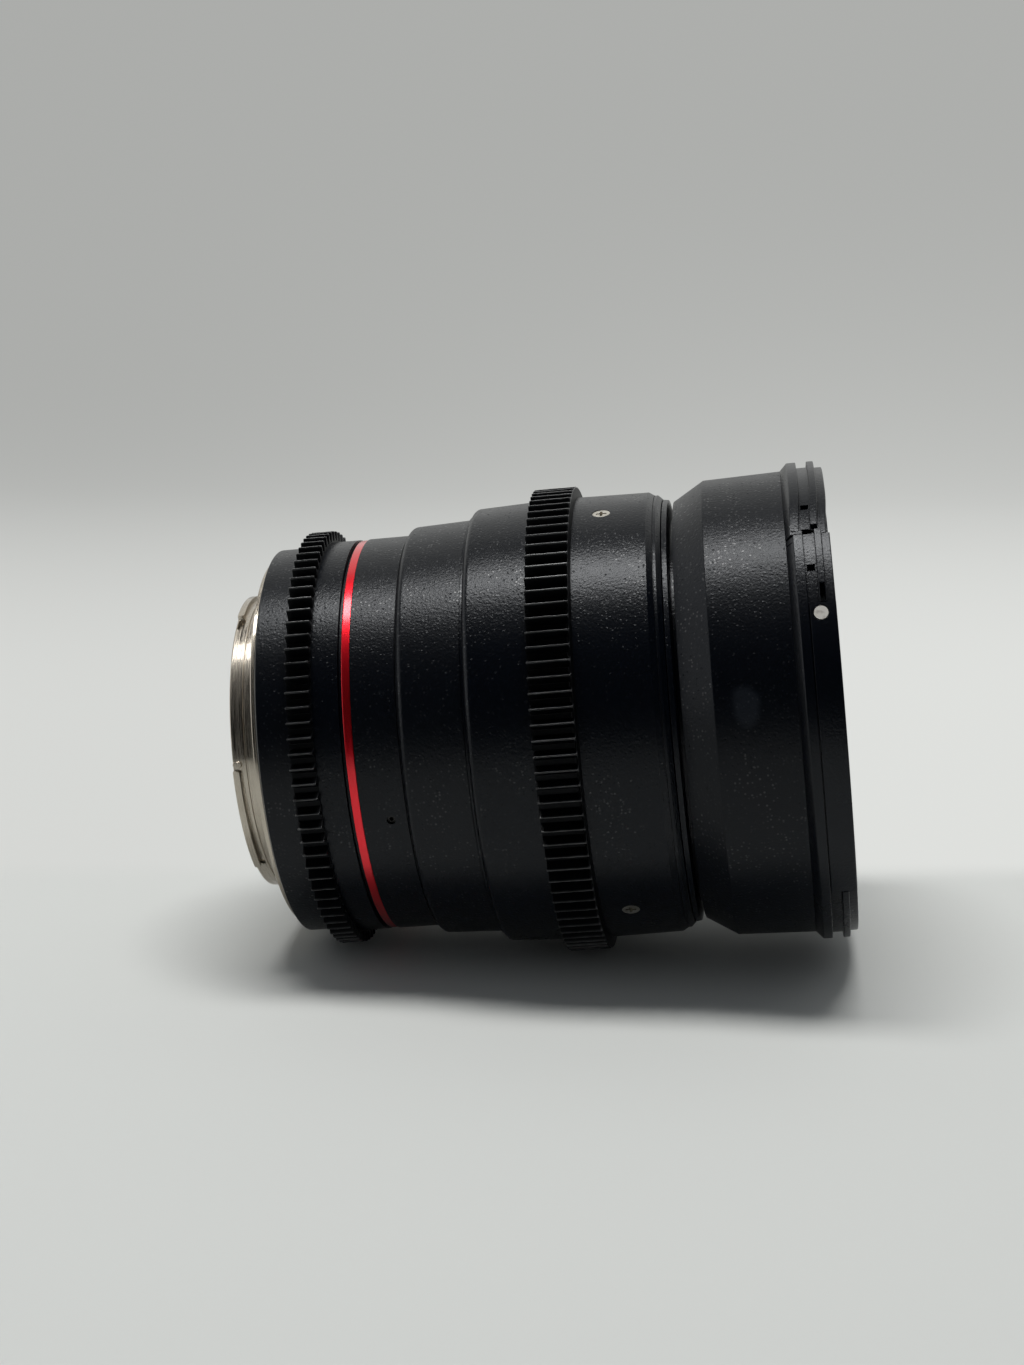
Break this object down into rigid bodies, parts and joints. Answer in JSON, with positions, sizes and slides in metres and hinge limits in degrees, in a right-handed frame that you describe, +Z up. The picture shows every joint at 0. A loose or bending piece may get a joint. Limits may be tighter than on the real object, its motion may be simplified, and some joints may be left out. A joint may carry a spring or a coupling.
{
  "type": "cinema prime lens",
  "caption": "Cinema prime lens with geared focus and aperture rings, a working iris, a sliding focus group, a bayonet mount and a filter thread.",
  "frame": {"origin": "centre of the mount's rear seating face, on the optical axis", "axes": "+X along the optical axis towards the subject, +Z up as it lies in the picture"},
  "size_m": [0.1032, 0.083, 0.083],
  "materials": {
    "mount_steel": "turned and polished",
    "screw_steel": "nickel plated",
    "black_screw": "blackened",
    "black_baffle": "matt black anodised",
    "black_barrel": "satin black anodised",
    "black_ring": "satin black anodised",
    "red_accent": "red anodised",
    "red_dot": "smooth",
    "white_dot": "smooth",
    "inner_metal": "matt black anodised",
    "blade_steel": "blackened",
    "coated_glass": "coated"
  },
  "bodies": {
    "barrel": {"bayonet_mount": "mount_steel", "mount_screws": "screw_steel", "mount_baffle": "black_baffle", "baffle_screws": "black_screw", "rear_shell": "black_barrel", "mount_index_dot": "red_dot", "core_barrel": "inner_metal", "label_sleeve": "black_barrel", "accent_ring": "red_accent", "sleeve_set_screws": "screw_steel", "index_sleeve": "black_barrel", "barrel_lock_ring": "black_barrel", "front_barrel": "black_barrel", "front_rim": "black_barrel", "hood_index_dot": "white_dot", "filter_ring": "black_barrel", "front_cell": "inner_metal", "front_bezel": "black_baffle", "front_glass_1": "coated_glass", "front_glass_2": "coated_glass", "front_glass_3": "coated_glass", "front_glass_4": "coated_glass", "rear_cell": "inner_metal", "rear_retainer": "inner_metal", "rear_cell_screws": "screw_steel", "rear_glass_1": "coated_glass", "rear_glass_2": "coated_glass", "rear_glass_3": "coated_glass", "rear_glass_4": "coated_glass", "rear_glass_5": "coated_glass", "iris_housing": "inner_metal", "iris_pivot_pins": "screw_steel", "iris_cover": "inner_metal"},
    "aperture_ring": {"aperture_sleeve": "black_ring", "aperture_gear": "black_ring", "aperture_link_screw": "screw_steel"},
    "focus_ring": {"focus_scale_ring": "black_ring", "focus_gear": "black_ring", "focus_sleeve": "black_ring", "focus_screws": "screw_steel", "focus_end_ring": "black_ring", "focus_cam_tube": "inner_metal"},
    "focus_group": {"focus_carriage": "inner_metal", "focus_retainer": "inner_metal", "focus_rollers": "screw_steel", "focus_glass_1": "coated_glass", "focus_glass_2": "coated_glass", "focus_glass_3": "coated_glass", "focus_glass_4": "coated_glass"},
    "iris_drive": {"iris_drive_ring": "inner_metal", "iris_drive_arm": "inner_metal"},
    "iris_blade_1": {"iris_blade_1": "blade_steel"},
    "iris_blade_2": {"iris_blade_2": "blade_steel"},
    "iris_blade_3": {"iris_blade_3": "blade_steel"},
    "iris_blade_4": {"iris_blade_4": "blade_steel"},
    "iris_blade_5": {"iris_blade_5": "blade_steel"},
    "iris_blade_6": {"iris_blade_6": "blade_steel"},
    "iris_blade_7": {"iris_blade_7": "blade_steel"},
    "iris_blade_8": {"iris_blade_8": "blade_steel"}
  },
  "joints": [
    {"name": "aperture_turn", "type": "hinge", "parent": "barrel", "child": "aperture_ring", "pos_m": [0.011, 0, 0], "axis": [1, 0, 0], "range_deg": [0, 58]},
    {"name": "focus_turn", "type": "hinge", "parent": "barrel", "child": "focus_ring", "pos_m": [0.052, 0, 0], "axis": [1, 0, 0], "range_deg": [0, 140]},
    {"name": "focus_slide", "type": "slide", "parent": "barrel", "child": "focus_group", "axis": [1, 0, 0], "range_m": [0, 0.0065]},
    {"name": "iris_drive_turn", "type": "hinge", "parent": "barrel", "child": "iris_drive", "pos_m": [0.0196, 0, 0], "axis": [1, 0, 0], "range_deg": [0, 58]},
    {"name": "iris_blade_1_swing", "type": "hinge", "parent": "barrel", "child": "iris_blade_1", "pos_m": [0.0215, -0.02255, 0.00821], "axis": [1, 0, 0], "range_deg": [0, 30.5]},
    {"name": "iris_blade_2_swing", "type": "hinge", "parent": "barrel", "child": "iris_blade_2", "pos_m": [0.0215, -0.01014, 0.02175], "axis": [1, 0, 0], "range_deg": [0, 30.5]},
    {"name": "iris_blade_3_swing", "type": "hinge", "parent": "barrel", "child": "iris_blade_3", "pos_m": [0.0215, 0.00821, 0.02255], "axis": [1, 0, 0], "range_deg": [0, 30.5]},
    {"name": "iris_blade_4_swing", "type": "hinge", "parent": "barrel", "child": "iris_blade_4", "pos_m": [0.0215, 0.02175, 0.01014], "axis": [1, 0, 0], "range_deg": [0, 30.5]},
    {"name": "iris_blade_5_swing", "type": "hinge", "parent": "barrel", "child": "iris_blade_5", "pos_m": [0.0215, 0.02255, -0.00821], "axis": [1, 0, 0], "range_deg": [0, 30.5]},
    {"name": "iris_blade_6_swing", "type": "hinge", "parent": "barrel", "child": "iris_blade_6", "pos_m": [0.0215, 0.01014, -0.02175], "axis": [1, 0, 0], "range_deg": [0, 30.5]},
    {"name": "iris_blade_7_swing", "type": "hinge", "parent": "barrel", "child": "iris_blade_7", "pos_m": [0.0215, -0.00821, -0.02255], "axis": [1, 0, 0], "range_deg": [0, 30.5]},
    {"name": "iris_blade_8_swing", "type": "hinge", "parent": "barrel", "child": "iris_blade_8", "pos_m": [0.0215, -0.02175, -0.01014], "axis": [1, 0, 0], "range_deg": [0, 30.5]}
  ],
  "couplings": [
    {"joint": "focus_slide", "follows": "focus_turn", "m_per_rad": 0.0026602},
    {"joint": "iris_drive_turn", "follows": "aperture_turn", "ratio": 1},
    {"joint": "iris_blade_1_swing", "follows": "aperture_turn", "ratio": 0.52586},
    {"joint": "iris_blade_2_swing", "follows": "aperture_turn", "ratio": 0.52586},
    {"joint": "iris_blade_3_swing", "follows": "aperture_turn", "ratio": 0.52586},
    {"joint": "iris_blade_4_swing", "follows": "aperture_turn", "ratio": 0.52586},
    {"joint": "iris_blade_5_swing", "follows": "aperture_turn", "ratio": 0.52586},
    {"joint": "iris_blade_6_swing", "follows": "aperture_turn", "ratio": 0.52586},
    {"joint": "iris_blade_7_swing", "follows": "aperture_turn", "ratio": 0.52586},
    {"joint": "iris_blade_8_swing", "follows": "aperture_turn", "ratio": 0.52586}
  ]
}
